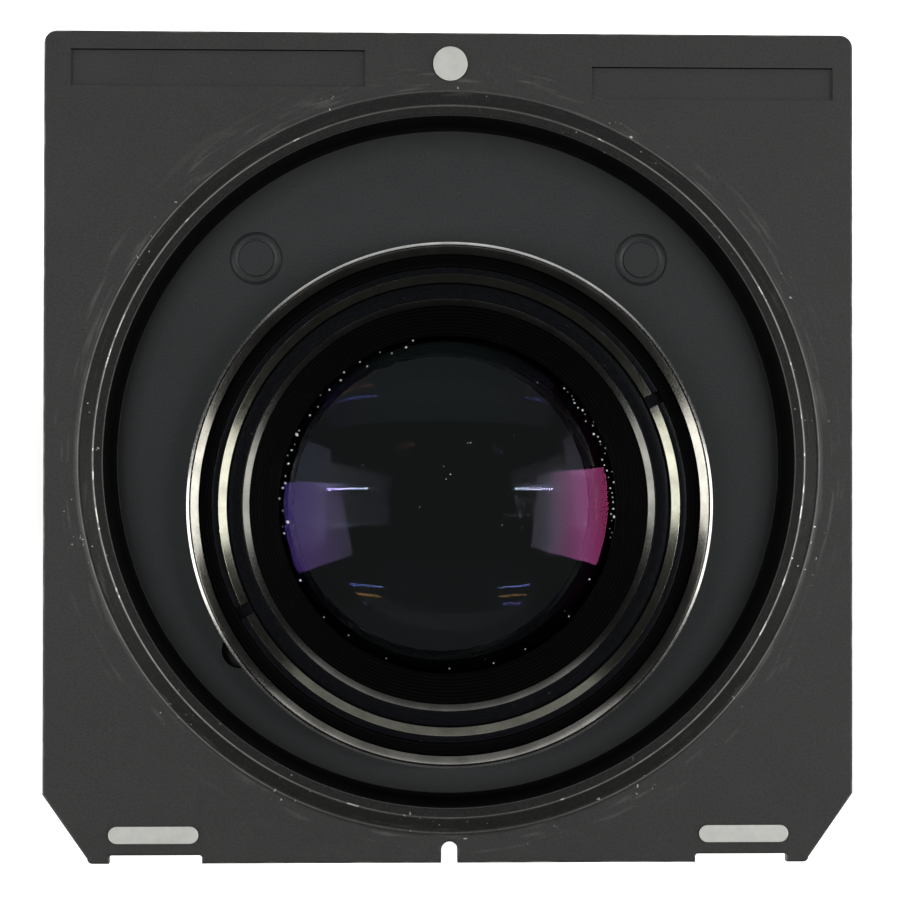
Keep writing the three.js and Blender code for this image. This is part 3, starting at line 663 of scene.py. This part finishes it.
# ---- turned rings at the rear ----
def threads(radius, start, end, pitch, depth, finish=0):
    """Points of a row of V grooves on a wall of that radius, from height start to end."""
    count = max(1, int(abs(end - start) / pitch))
    step = (end - start) / count
    points = []
    for i in range(count):
        z = start + i * step
        points += [(radius, z + 0.15 * step, finish), (radius + depth, z + 0.5 * step, finish),
                   (radius, z + 0.85 * step, finish)]
    return points


def rings_on_face(z, start, end, pitch, depth, finish=0):
    """Points of a row of concentric grooves on a flat face, from radius start to end."""
    return [(x, y, finish) for y, x, _ in threads(z, start, end, pitch, depth, finish)]


def jam_nut():
    top, bottom = REAR_TOP, FLOOR_Z + 0.03
    outline = [(25.9, bottom, 0), (25.9, top - 0.13, 1), (25.6, top, 0), (25.55, top - 0.06, 0),
               (25.45, top, 2), (24.7, top - 0.62, 0), (24.7, top - 1.2, 0)]
    outline += threads(24.85, top - 1.35, bottom + 0.3, 0.5, 0.12)
    outline += [(24.85, bottom, 0)]
    piece = lathe("rear_jam_nut", outline, [ANODISED_SHADED, EDGE_NUT, EDGE_BRIGHT], 0.03)
    return show(piece, LENS_BODY, "black_anodised", "jam_nut")


def barrel():
    flange_rear = board_low.z - 0.03
    neck_rear = REAR_TOP - 1.5
    outline = [(27.6, 39, 0), (27.6, 41.4, 0), (30.9, 41.4, 1), (31, 41.5, 0),
               (31, flange_rear, 0), (24.8, flange_rear, 0), (24.8, neck_rear - 0.3, 0),
               (24.6, neck_rear, 2)]
    outline += rings_on_face(neck_rear, 24.5, 23.8, 0.22, -0.09, 2)
    outline += [(23.55, neck_rear, 2), (23.55, 44.9, 0), (22, 44.9, 0), (22, 28.6, 0),
                (24.8, 28.6, 0), (24.8, 7, 0), (27, 7, 0), (27, 30.08, 0), (29.75, 30.08, 1),
                (30, 30.33, 0), (30, 38.6, 0), (29.6, 39, 0)]
    piece = lathe("barrel_tube", outline, [ANODISED, EDGE_GREY, MATT], 0.05)
    margin = math.degrees(1.5 / 27)
    slot = sector(23.8, 28, DRIVE_CLOSED - margin, DRIVE_OPEN + margin, 26.85, 29.05)
    pocket = sector(25.6, 28, 184.5, 215.5, 16.2, 19.8)
    combine(piece, [slot, pocket], "DIFFERENCE")
    smooth(piece, 38, weighted=True)
    return show(piece, LENS_BODY, "black_anodised", "barrel")


def rear_lock_ring():
    low, high = box_mm("rear_lock_ring")
    outline = [(23.5, low.z, 0), (23.5, high.z, 0), (22.8, high.z, 1), (22, high.z - 0.62, 0),
               (22, low.z, 0)]
    piece = lathe("rear_lock_ring_turned", outline, [ANODISED_SHADED, EDGE_LOCK], 0.04)
    cuts = []
    for turn in (27.3, 207.3):
        across = Vector((math.cos(math.radians(turn)), math.sin(math.radians(turn))))
        along = Vector((-across.y, across.x))
        corners = [across * r + along * w for r, w in ((21, -0.62), (25, -0.62), (25, 0.62),
                                                      (21, 0.62))]
        plan = [(c.x, c.y + LENS_Y) for c in corners]
        cuts.append(prism("spanner", plan, high.z - 0.8, high.z + 1, (), 0.12, 2))
    combine(piece, cuts, "DIFFERENCE")
    smooth(piece, 38, weighted=True)
    return show(piece, LENS_BODY, "black_anodised", "rear_lock_ring")


def cell_bore(start, direction, depth):
    steps = [(14, 0), (14, 0.8), (16.55, 0.8), (16.55, 5.9), (18.05, 5.9), (18.05, 13.78),
             (20.5, 13.78), (20.5, depth)]
    return [(r, start + direction * d, 0) for r, d in steps]


def rear_cell():
    low, high = box_mm("rear_cell")
    outline = cell_bore(low.z, 1, high.z - low.z)
    outline += [(21.95, high.z, 0), (21.95, 46.3, 0), (23.45, 46.3, 0), (23.45, 44.95, 0),
                (21.95, 44.95, 0), (21.95, low.z, 0)]
    piece = lathe("rear_cell_tube", outline, [ANODISED_SHADED], 0.05)
    return show(piece, LENS_BODY, "black_anodised", "rear_cell")


def front_cell():
    low, high = box_mm("front_cell")
    outline = cell_bore(high.z, -1, high.z - 4.5)
    outline += [(26, 4.5, 0)]
    outline += threads(26, 3.4, 0.5, 0.75, 0.28)
    outline += [(26.3, 0, 0), (28.6, 0, 1), (29, 0.4, 0), (29, 2.2, 0), (28.85, 2.3, 0),
                (28.85, 2.6, 0), (29, 2.7, 0), (29, 6.7, 0), (28.8, 6.93, 0),
                (24.7, 6.93, 0), (24.7, high.z, 0)]
    piece = lathe("front_cell_tube", outline, [ANODISED, EDGE_GREY], 0.05)
    return show(piece, LENS_BODY, "black_anodised", "front_cell")


def lens_ring(node, name, direction):
    """Retaining ring on the outer glass: a grey chamfer, then a stepped black cone."""
    low, high = box_mm(node)
    seat = low.z if direction > 0 else high.z
    bore, mouth, mouth_depth, cone_depth = 17.0, 19.8, 4.08, 3.5
    outline = [(bore, 0, 1), (20.45, 0, 1), (20.45, 4.6, 0), (mouth, mouth_depth, 1)]
    baffles = 9
    for i in range(1, baffles):
        share = i / baffles
        r, d = mouth - (mouth - bore) * share, mouth_depth - cone_depth * share
        outline += [(r + 0.16, d, 1), (r, d - 0.04, 1)]
    outline += [(bore, 0.5, 1)]
    placed = [(r, seat + direction * d, f) for r, d, f in outline]
    piece = lathe(name, placed, [EDGE_GREY, MATT], 0.03)
    return show(piece, LENS_BODY, "matt_black", node)


def name_ring():
    low, high = box_mm("name_ring")
    outline = [(18.2, high.z, 0), (18.2, low.z + 0.5, 1), (18.7, low.z, 0)]
    outline += rings_on_face(low.z, 19.2, 20.4, 0.4, 0.08)
    outline += rings_on_face(low.z, 24.4, 25.4, 0.4, 0.08)
    outline += [(25.9, low.z, 0), (25.9, high.z, 0)]
    piece = lathe("front_name_ring", outline, [ANODISED, EDGE_GREY], 0.04)
    return show(piece, LENS_BODY, "black_anodised", "name_ring")


COLLAR_SCREWS = (90, 210, 330)
COLLAR_SCREW_Z = 10.4


def front_collar():
    low, high = box_mm("front_collar")
    outline = [(27.05, low.z, 0), (29.5, low.z, 0), (30, low.z + 0.5, 0), (30, high.z - 0.5, 1),
               (29.6, high.z, 0), (27.05, high.z, 0)]
    piece = lathe("front_collar_turned", outline, [ANODISED, EDGE_GREY], 0.08)
    drills = [radial_cylinder(1.05, 26, 31, COLLAR_SCREW_Z, turn) for turn in COLLAR_SCREWS]
    combine(piece, drills, "DIFFERENCE")
    smooth(piece, 38, weighted=True)
    return show(piece, LENS_BODY, "black_anodised", "front_collar")


# ---- glass ----
def sagitta(curvature, r):
    return curvature - math.sqrt(curvature * curvature - r * r)


def face(curvature, rim, middle, bulge, steps=14):
    radii = [rim * i / steps for i in range(steps + 1)]
    return [(r, middle - bulge * sagitta(curvature, r)) for r in radii]


def element_profiles():
    """Profiles and finishes of one half's three elements, height counted from the iris end.

    Finish 0 is polished, 1 is cemented and 2 is ground and blackened.
    """
    gap, floor, step = 0.03, 0.8, 5.9
    start = floor + gap
    inner_top = start + 2.65 + sagitta(45, 15.5)
    inner = face(60, 14.5, start + sagitta(60, 14.5), 1) + [(16.5, start), (16.5, start + 2.65)]
    inner += face(45, 15.5, inner_top, 1)[::-1]
    base = step + gap
    hollow = base + sagitta(70, 15.4)
    cement = hollow + 1.6
    middle = face(70, 15.4, hollow, 1) + [(18, base)] + face(60, 18, cement, -1)[::-1]
    outer_start = cement + gap
    crown = outer_start + sagitta(60, 18) + 1.3 + sagitta(50, 18)
    outer = face(60, 18, outer_start, -1) + face(50, 18, crown, 1)[::-1]
    steps = len(face(60, 18, 0, 1)) - 1
    polished, cemented, black = [0] * steps, [1] * steps, [2]
    return {"inner": (inner, polished + black * 3 + polished),
            "middle": (middle, polished + black * 2 + cemented),
            "outer": (outer, cemented + black + polished)}


def glass():
    starts = {"rear": (box_mm("rear_cell")[0].z, 1), "front": (box_mm("front_cell")[1].z, -1)}
    for side, (start, direction) in starts.items():
        outer_glass = GLASS_REAR if side == "rear" else GLASS_FRONT
        for role, (profile, finishes) in element_profiles().items():
            placed = [(r, start + direction * d) for r, d in profile]
            material = outer_glass if role == "outer" else GLASS_INNER
            piece = lens_solid(f"{side}_{role}_glass", placed, [material, CEMENT, MATT],
                               finishes)
            show(piece, LENS_BODY, "optical_glass", f"{side}_{role}_element")


# Where dust has gathered round the rear glass: start and end angle, and the number of grains.
DUST_ARCS = ((-12, 46, 34), (152, 192, 15), (100, 150, 12), (200, 340, 9))


def glass_dust():
    """Grains of dust caught round the edge of the rear glass, and a few across it."""
    random.seed(7)
    crown = box_mm("rear_outer_element")[1].z
    grains = []
    for start, end, count in DUST_ARCS:
        for i in range(count):
            degrees = start + (end - start) * (i + random.uniform(0.1, 0.9)) / count
            r = min(random.gauss(16.6, 0.2), 16.92)
            size = random.uniform(0.04, 0.1) + 0.07 * random.random() ** 4
            grains.append((math.radians(degrees), r, size))
    for _ in range(30):
        grains.append((random.uniform(0, 2 * math.pi), random.uniform(2, 16.4),
                       random.uniform(0.02, 0.05)))
    work = bmesh.new()
    for turn, r, size in grains:
        height = crown - sagitta(50, r) + size * 0.3
        place = Matrix.Translation(Vector((r * math.cos(turn), LENS_Y + r * math.sin(turn),
                                           height)) * MM)
        shape = Matrix.Diagonal((random.uniform(0.7, 1.6), 1, 0.6, 1))
        spun = Matrix.Rotation(turn + random.uniform(0, 3), 4, "Z")
        bmesh.ops.create_icosphere(work, subdivisions=1, radius=size * MM,
                                   matrix=place @ spun @ shape)
    mesh = bpy.data.meshes.new("rear_glass_dust")
    work.to_mesh(mesh)
    work.free()
    mesh.materials.append(DUST)
    piece = bpy.data.objects.new("rear_glass_dust", mesh)
    bpy.context.scene.collection.objects.link(piece)
    return show(piece, LENS_BODY, "white_fill")


# ---- aperture control, drawn with the iris wide open ----
GRIP_R, FLUTE_DEPTH, FLUTES = 32, 0.8, 24
RING_TRAVEL = 54
DRIVE_CLOSED = 30
DRIVE_OPEN = DRIVE_CLOSED + RING_TRAVEL
DRIVE_Z = 27.95


def grip_radius(turn):
    """Outer radius of the grip at an angle: broad serrated crowns between scooped flutes."""
    phase = (turn * FLUTES / (2 * math.pi) + 0.5) % 1 - 0.5
    off = abs(phase)
    if off > 0.36:
        scoop = min(1, (off - 0.36) / 0.06)
        return GRIP_R - FLUTE_DEPTH * scoop * scoop * (3 - 2 * scoop)
    ribs = 0.5 + 0.5 * math.cos(2 * math.pi * off / 0.12)
    return GRIP_R - 0.16 * (1 - ribs)


def aperture_ring():
    low, high = box_mm("aperture_ring")
    bore = 27.1
    columns = []
    sides = FLUTES * 48
    for j in range(sides):
        outer = grip_radius(2 * math.pi * j / sides - math.radians(RING_TRAVEL))
        soft = min(outer, 31.2)
        columns.append([
            (bore, low.z, 0), (soft - 0.25, low.z, 0), (soft - 0.05, low.z + 0.12, 0),
            (outer, low.z + 0.6, 0), (outer, low.z + 8.8, 0), (soft - 0.02, low.z + 9.28, 0),
            (30.9, low.z + 9.4, 0), (30.9, low.z + 9.75, 0), (31.3, low.z + 9.9, 1),
            (31.4, low.z + 10.05, 0), (31.35, low.z + 10.8, 0), (30.42, high.z - 0.35, 0),
            (30.25, high.z - 0.05, 1), (30.1, high.z, 0), (bore, high.z, 0)])
    piece = spin("aperture_ring_fluted", columns, [ANODISED, EDGE_GREY])
    drills = [radial_cylinder(1.85, 28.97, 33, DRIVE_Z, DRIVE_OPEN),
              radial_cylinder(1.05, 26, 30, DRIVE_Z, DRIVE_OPEN)]
    combine(piece, drills, "DIFFERENCE")
    smooth(piece, 34, weighted=True)
    return show(piece, RING_BODY, "black_anodised", "aperture_ring")


STOP_NUMBERS = ("5.6", "8", "11", "16", "22", "32", "45")
STOP_STEP = 9
INDEX_ANGLE = -90
BAND = {"front": (31.35, 24.8), "rear": (30.42, 29.65)}


def band_radius(z):
    (r0, z0), (r1, z1) = BAND["front"], BAND["rear"]
    return r0 + (r1 - r0) * (z - z0) / (z1 - z0)


def wrapped(flat, degrees, middle_z, radius_at, proud):
    """Bends flat outlines, drawn in millimetres round (0, 0), onto a turned surface."""
    vertices = []
    for x, y in flat:
        z = middle_z + y
        r = radius_at(z) + proud
        turn = math.radians(degrees) + x / r
        vertices.append((r * math.cos(turn), LENS_Y + r * math.sin(turn), z))
    return vertices


def numeral(text, degrees, height):
    curve = bpy.data.curves.new("numeral", "FONT")
    curve.body = text
    curve.align_x = "CENTER"
    curve.align_y = "CENTER"
    curve.size = height / 0.7
    curve.resolution_u = 4
    holder = bpy.data.objects.new("numeral", curve)
    bpy.context.scene.collection.objects.link(holder)
    bpy.context.view_layer.update()
    graph = bpy.context.evaluated_depsgraph_get()
    mesh = bpy.data.meshes.new_from_object(holder.evaluated_get(graph))
    flat = [(v.co.x, v.co.y) for v in mesh.vertices]
    faces = [tuple(p.vertices) for p in mesh.polygons]
    bpy.data.objects.remove(holder)
    return wrapped(flat, degrees, 27.5, band_radius, 0.025), faces


def patch(width, height, degrees, middle_z, radius_at, proud=0.025, steps=6):
    """A painted bar on a turned surface."""
    flat, faces = [], []
    for i in range(steps + 1):
        x = width * (i / steps - 0.5)
        flat += [(x, -height / 2), (x, height / 2)]
    for i in range(steps):
        faces.append((2 * i, 2 * i + 2, 2 * i + 3, 2 * i + 1))
    return wrapped(flat, degrees, middle_z, radius_at, proud), faces


def joined(name, parts, material, thickness=0.02):
    vertices, faces = [], []
    for part_vertices, part_faces in parts:
        base = len(vertices)
        vertices += part_vertices
        faces += [tuple(base + i for i in f) for f in part_faces]
    piece = new_object(name, vertices, faces, [material])
    solid = piece.modifiers.new("thickness", "SOLIDIFY")
    solid.thickness = thickness * MM
    return piece


def scale_marks():
    angles = [INDEX_ANGLE + STOP_STEP * i for i in range(len(STOP_NUMBERS))]
    parts = [numeral(text, angle, 2.1) for text, angle in zip(STOP_NUMBERS, angles)]
    parts += [patch(0.3, 0.75, angle, 29.2, band_radius, steps=2) for angle in angles]
    show(joined("stop_numbers", parts, WHITE), RING_BODY, "white_fill")
    index = [patch(0.35, 2.6, INDEX_ANGLE, 31.9, lambda z: 30, steps=2)]
    show(joined("index_line", index, WHITE), LENS_BODY, "white_fill")


def screw(name, radius, r0, r1, z, degrees, slot_width, slot_depth, body, node, extra=()):
    piece = radial_cylinder(radius, r0, r1, z, degrees, 40, [STEEL], name)
    if extra:
        combine(piece, [radial_cylinder(*part, z, degrees, 32) for part in extra], "UNION")
    across = Vector((math.cos(math.radians(degrees)), math.sin(math.radians(degrees))))
    along = Vector((-across.y, across.x))
    half = slot_width / 2
    corners = [across * r + along * w for r, w in ((r1 - slot_depth, -half), (r1 + 1, -half),
                                                  (r1 + 1, half), (r1 - slot_depth, half))]
    cut = prism("slot", [(c.x, c.y + LENS_Y) for c in corners], z - radius - 1, z + radius + 1)
    combine(piece, [cut], "DIFFERENCE")
    bevel = piece.modifiers.new("edge", "BEVEL")
    bevel.width = 0.06 * MM
    bevel.segments = 2
    bevel.limit_method = "ANGLE"
    bevel.angle_limit = math.radians(50)
    smooth(bake(piece), 38)
    return show(piece, body, "bare_steel", node)


def screws():
    for number, turn in enumerate(COLLAR_SCREWS, start=1):
        screw(f"collar_grub_screw_{number}", 1, 27.1, 29.7, COLLAR_SCREW_Z, turn, 0.35, 0.5,
              LENS_BODY, f"collar_screw_{number}")
    screw("ring_drive_screw", 1.8, 29, 30.2, DRIVE_Z, DRIVE_OPEN, 0.5, 0.4, RING_BODY,
          "drive_screw", ((1, 25.05, 29.4), (0.45, 24, 25.25)))


# ---- iris ----
BLADES, OPEN_R, CLOSED_R, BAND_R, PIVOT_R, ARM = 8, 13.5, 2, 20.2, 21.4, 4.6
SWING = 2 * math.asin((OPEN_R - CLOSED_R) / (2 * PIVOT_R))
ARM_CLOSED = math.radians(-67.5)


def iris_blade(index):
    node = f"iris_blade_{index + 1}"
    low, high = box_mm(node)
    level = 25.5 + 0.22 * index
    top = level + 0.14
    pin = (PIVOT_R + ARM * math.cos(ARM_CLOSED - SWING), ARM * math.sin(ARM_CLOSED - SWING))
    band = arc(0, 0, OPEN_R, 140, -6, 60) + arc(0, 0, BAND_R, -6, 134, 50)
    root = [(19.2, -1.6), (21.4, -0.8), (22.1, 0.4), (21.4, 1.4), (19.2, 3.2)]
    across = (Vector(pin) - Vector((PIVOT_R, 0))).normalized()
    facing = math.degrees(math.atan2(across.y, across.x))
    arm = arc(PIVOT_R, 0, 0.8, facing + 90, facing + 270, 12)
    arm += arc(pin[0], pin[1], 0.8, facing - 90, facing + 90, 12)
    plate = prism(f"iris_leaf_{index + 1}", band, level, top, [BLADE])
    others = [prism("root", root, level, top), prism("arm", arm, level, top)]
    others.append(prism("pivot", circle(PIVOT_R, 0, 0.45, 20), low.z, level + 0.07))
    others.append(prism("follower", circle(pin[0], pin[1], 0.4, 20), level + 0.07, high.z))
    combine(plate, others, "UNION")
    turn = Matrix.Rotation(2 * math.pi * index / BLADES, 4, "Z")
    plate.data.transform(Matrix.Translation(Vector((0, LENS_Y, 0)) * MM) @ turn)
    smooth(plate, 30)
    return show(plate, f"blade_{index + 1}", "blade_steel", node)


# ---- finishes of the CAD pieces that stay ----
def dress_frame():
    finishes = {"rear_spacer": MATT, "front_spacer": MATT, "iris_base_ring": MATT,
                "iris_cam_ring": MATT, "click_spring": STEEL, "spring_rivet": STEEL}
    for node, material in finishes.items():
        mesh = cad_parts[node].data
        mesh.materials.clear()
        mesh.materials.append(material)


# ---- stage ----
def floor():
    """A pale table. It glows a little outside the board, where a light tent would light it."""
    size = 1500
    corners = [(-size, -size, 0), (size, -size, 0), (size, size, 0), (-size, size, 0)]
    g = Graph("pale_floor")
    pale = g.mix(g.noise(60, 2), grey(0.86), grey(0.88))
    glow = g.ramp(g.radius((0, 0)), 38 * MM, 50 * MM, 0.014, 0.62)
    g.set(Base_Color=pale, Roughness=0.8, Emission_Color=pale, Emission_Strength=glow)
    new_object("floor", corners, [(0, 1, 2, 3)], [g.material])


def area_light(name, position, target, width, height, radiance, colour=(1, 1, 1)):
    data = bpy.data.lights.new(name, "AREA")
    data.shape = "RECTANGLE"
    data.size, data.size_y = width, height
    data.energy = radiance * math.pi * width * height
    data.color = colour
    lamp = bpy.data.objects.new(name, data)
    lamp.location = position
    direction = Vector(target) - Vector(position)
    lamp.rotation_euler = direction.to_track_quat("-Z", "Y").to_euler()
    lamp.visible_camera = False
    bpy.context.scene.collection.objects.link(lamp)


def lights():
    world = bpy.data.worlds.new("studio")
    world.use_nodes = True
    tree = world.node_tree
    backdrop = tree.nodes["Background"]
    backdrop.inputs["Color"].default_value = (0.97, 0.99, 1, 1)
    seen = tree.nodes.new("ShaderNodeLightPath").outputs["Is Camera Ray"]
    level = tree.nodes.new("ShaderNodeMapRange")
    level.inputs["To Min"].default_value = 0.05
    level.inputs["To Max"].default_value = 0.80
    tree.links.new(seen, level.inputs["Value"])
    tree.links.new(level.outputs[0], backdrop.inputs["Strength"])
    bpy.context.scene.world = world
    cream = (1, 0.985, 0.94)
    for side, turn in (("left", 190), ("right", -5)):
        a = math.radians(turn)
        spot = (0.6 * math.cos(a), 0.6 * math.sin(a), 0.55)
        area_light(f"window_{side}", spot, (0, 0, 0.35), 0.34, 1.0, 5.8, cream)
    area_light("softbox", (0.02, 0.31, 0.27), (0, 0.02, 0.04), 0.6, 0.12, 1.5)
    area_light("low_softbox", (0.02, 0.34, 0.16), (0, 0.02, 0.04), 0.6, 0.2, 0.45)
    area_light("ceiling", (0, 0.45, 0.75), (0, 0, 0.04), 0.9, 0.35, 0.5)
    area_light("fill", (0, -0.55, 0.45), (0, 0, 0.04), 0.8, 0.2, 0.15)
    # Bare lamps high above, which show as streaks in the glass: x, y, length, radiance, colour.
    lamps = ((0.36, 0.05, 0.18, 110, (0.85, 0.97, 1)), (0.29, -0.33, 0.14, 30, (0.35, 0.42, 1)),
             (0.29, -0.37, 0.12, 22, (1, 0.42, 0.12)))
    for x, y, length, radiance, colour in lamps:
        for side in (-1, 1):
            area_light("lamp", (side * x, y, 0.85), (side * x, y, 0), length, 0.010, radiance,
                       colour)


def camera():
    """Looks down on the back of the board from 0.3 m, with the tilts of a hand-held camera.

    field is the width that the picture covers at the back of the plate.
    """
    distance, tilt_x, tilt_y, roll = 300, -0.70, 2.15, -0.09
    shift_x, shift_y = -0.009, 0.278
    sensor, field = 36, 88.845
    turn = Matrix.Identity(3)
    for degrees, axis in ((roll, "Z"), (tilt_y, "Y"), (tilt_x, "X")):
        turn = turn @ Matrix.Rotation(math.radians(degrees), 3, axis)
    turn.transpose()
    eye = turn @ Vector((-shift_x, -shift_y, distance)) + Vector((0, 0, PLATE_REAR))
    data = bpy.data.cameras.new("camera")
    data.sensor_width = sensor
    data.lens = sensor * distance / field
    data.clip_start, data.clip_end = 0.01, 20
    made = bpy.data.objects.new("camera", data)
    made.matrix_world = Matrix.Translation(eye * MM) @ turn.to_4x4()
    bpy.context.scene.collection.objects.link(made)
    bpy.context.scene.camera = made


camera()
lens_board()
jam_nut()
barrel()
rear_lock_ring()
rear_cell()
front_cell()
lens_ring("rear_lens_ring", "rear_glass_ring", 1)
lens_ring("front_lens_ring", "front_glass_ring", -1)
name_ring()
front_collar()
glass()
glass_dust()
aperture_ring()
scale_marks()
screws()
for blade in range(BLADES):
    iris_blade(blade)
dress_frame()
floor()
lights()
bpy.context.scene.view_settings.view_transform = "Standard"
